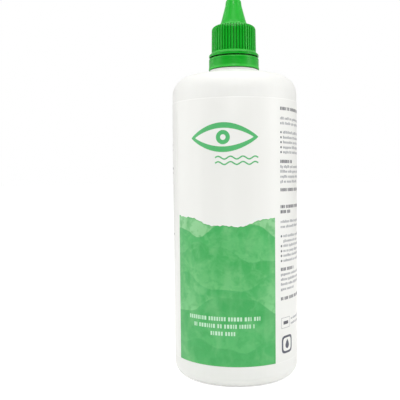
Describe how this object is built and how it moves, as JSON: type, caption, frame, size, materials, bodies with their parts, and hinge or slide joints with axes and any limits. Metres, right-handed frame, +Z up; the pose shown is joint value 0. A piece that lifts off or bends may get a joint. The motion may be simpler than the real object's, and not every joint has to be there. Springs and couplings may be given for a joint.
{
  "type": "contact lens solution bottle",
  "caption": "Round white squeeze bottle with a domed shoulder, wrap-around printed label, ribbed green screw cap with a tapered spout, tamper ring and dropper nozzle.",
  "frame": {"origin": "centre of the base, on the surface that the bottle stands on", "axes": "+Z up along the bottle's axis, -Y towards the front of the label, +X to the right seen from the front"},
  "size_m": [0.0602, 0.0602, 0.1823],
  "materials": {
    "bottle_white": "satin blow-moulded polyethylene",
    "nozzle_natural": "soft natural polyethylene",
    "cap_green": "moulded polypropylene, low gloss",
    "label_film": "smooth printed film"
  },
  "bodies": {
    "bottle_body": {"bottle": "bottle_white", "nozzle_insert": "nozzle_natural", "wrap_label": "label_film"},
    "ring_body": {"tamper_ring": "cap_green"},
    "cap_body": {"screw_cap": "cap_green"}
  },
  "joints": [
    {"name": "cap_turn", "type": "hinge", "parent": "bottle_body", "child": "ring_body", "pos_m": [0, 0, 0.15], "axis": [0, 0, 1], "range_deg": [0, 3240]},
    {"name": "cap_rise", "type": "slide", "parent": "ring_body", "child": "cap_body", "axis": [0, 0, 1], "range_m": [0, 0.02857]}
  ],
  "couplings": [
    {"joint": "cap_rise", "follows": "cap_turn", "m_per_rad": 0.00050532}
  ]
}
